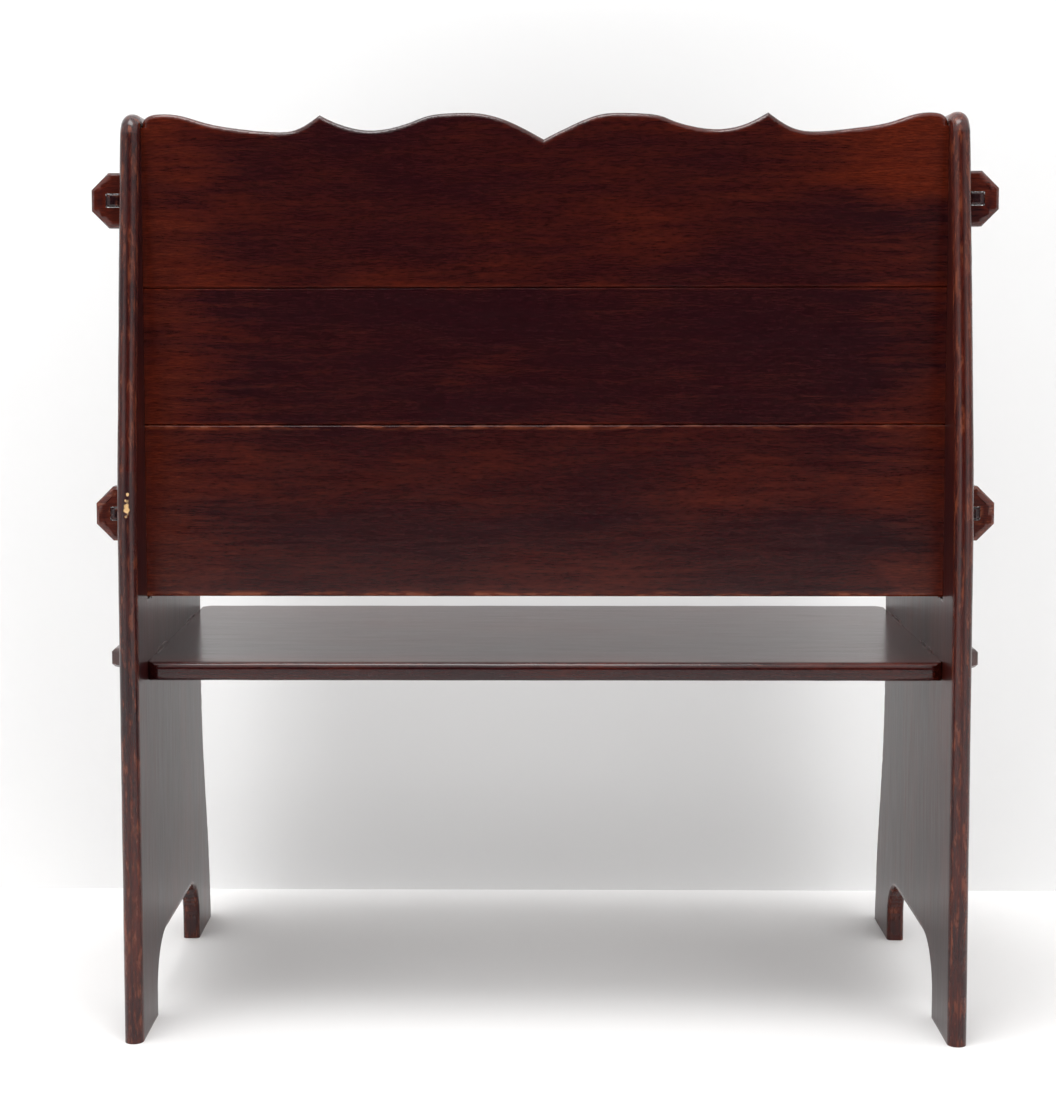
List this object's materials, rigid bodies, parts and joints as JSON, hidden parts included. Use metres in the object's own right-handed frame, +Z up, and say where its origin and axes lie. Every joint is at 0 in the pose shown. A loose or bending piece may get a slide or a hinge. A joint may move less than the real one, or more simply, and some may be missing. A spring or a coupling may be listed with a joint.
{
  "type": "entryway bench",
  "caption": "Knock-down wooden hall bench: shaped side panels with arched feet, boarded back with scalloped top, plank seat, through tenons locked by wedges.",
  "frame": {"origin": "on the floor, at the middle of the footprint", "axes": "+Z up, the sitter faces -Y, the back of the bench is at +Y, +X is the sitter's left"},
  "size_m": [1.036, 0.48, 1.0621],
  "materials": {
    "panel_wood": "dark mahogany stain under satin varnish, worn along the edges",
    "board_wood": "dark mahogany stain under satin varnish, lighter red-brown near the ends",
    "seat_wood": "dark mahogany stain under satin varnish, worn along the nose",
    "key_wood": "brown stained hardwood, thin varnish"
  },
  "bodies": {
    "bench_frame": {"left_side_panel": "panel_wood", "right_side_panel": "panel_wood", "top_back_board": "board_wood", "middle_back_board": "board_wood", "bottom_back_board": "board_wood", "seat_board": "seat_wood"},
    "left_upper_back_key": {"left_upper_back_key": "key_wood"},
    "left_lower_back_key": {"left_lower_back_key": "key_wood"},
    "left_rear_seat_key": {"left_rear_seat_key": "key_wood"},
    "left_front_seat_key": {"left_front_seat_key": "key_wood"},
    "right_upper_back_key": {"right_upper_back_key": "key_wood"},
    "right_lower_back_key": {"right_lower_back_key": "key_wood"},
    "right_rear_seat_key": {"right_rear_seat_key": "key_wood"},
    "right_front_seat_key": {"right_front_seat_key": "key_wood"}
  },
  "joints": [
    {"name": "left_upper_back_key_slide", "type": "slide", "parent": "bench_frame", "child": "left_upper_back_key", "axis": [0, -1, 0], "range_m": [0, 0.06]},
    {"name": "left_lower_back_key_slide", "type": "slide", "parent": "bench_frame", "child": "left_lower_back_key", "axis": [0, -1, 0], "range_m": [0, 0.06]},
    {"name": "left_rear_seat_key_slide", "type": "slide", "parent": "bench_frame", "child": "left_rear_seat_key", "axis": [0, 0.0192, 0.9998], "range_m": [0, 0.06]},
    {"name": "left_front_seat_key_slide", "type": "slide", "parent": "bench_frame", "child": "left_front_seat_key", "axis": [0, 0.0192, 0.9998], "range_m": [0, 0.06]},
    {"name": "right_upper_back_key_slide", "type": "slide", "parent": "bench_frame", "child": "right_upper_back_key", "axis": [0, -1, 0], "range_m": [0, 0.06]},
    {"name": "right_lower_back_key_slide", "type": "slide", "parent": "bench_frame", "child": "right_lower_back_key", "axis": [0, -1, 0], "range_m": [0, 0.06]},
    {"name": "right_rear_seat_key_slide", "type": "slide", "parent": "bench_frame", "child": "right_rear_seat_key", "axis": [0, 0.0192, 0.9998], "range_m": [0, 0.06]},
    {"name": "right_front_seat_key_slide", "type": "slide", "parent": "bench_frame", "child": "right_front_seat_key", "axis": [0, 0.0192, 0.9998], "range_m": [0, 0.06]}
  ]
}
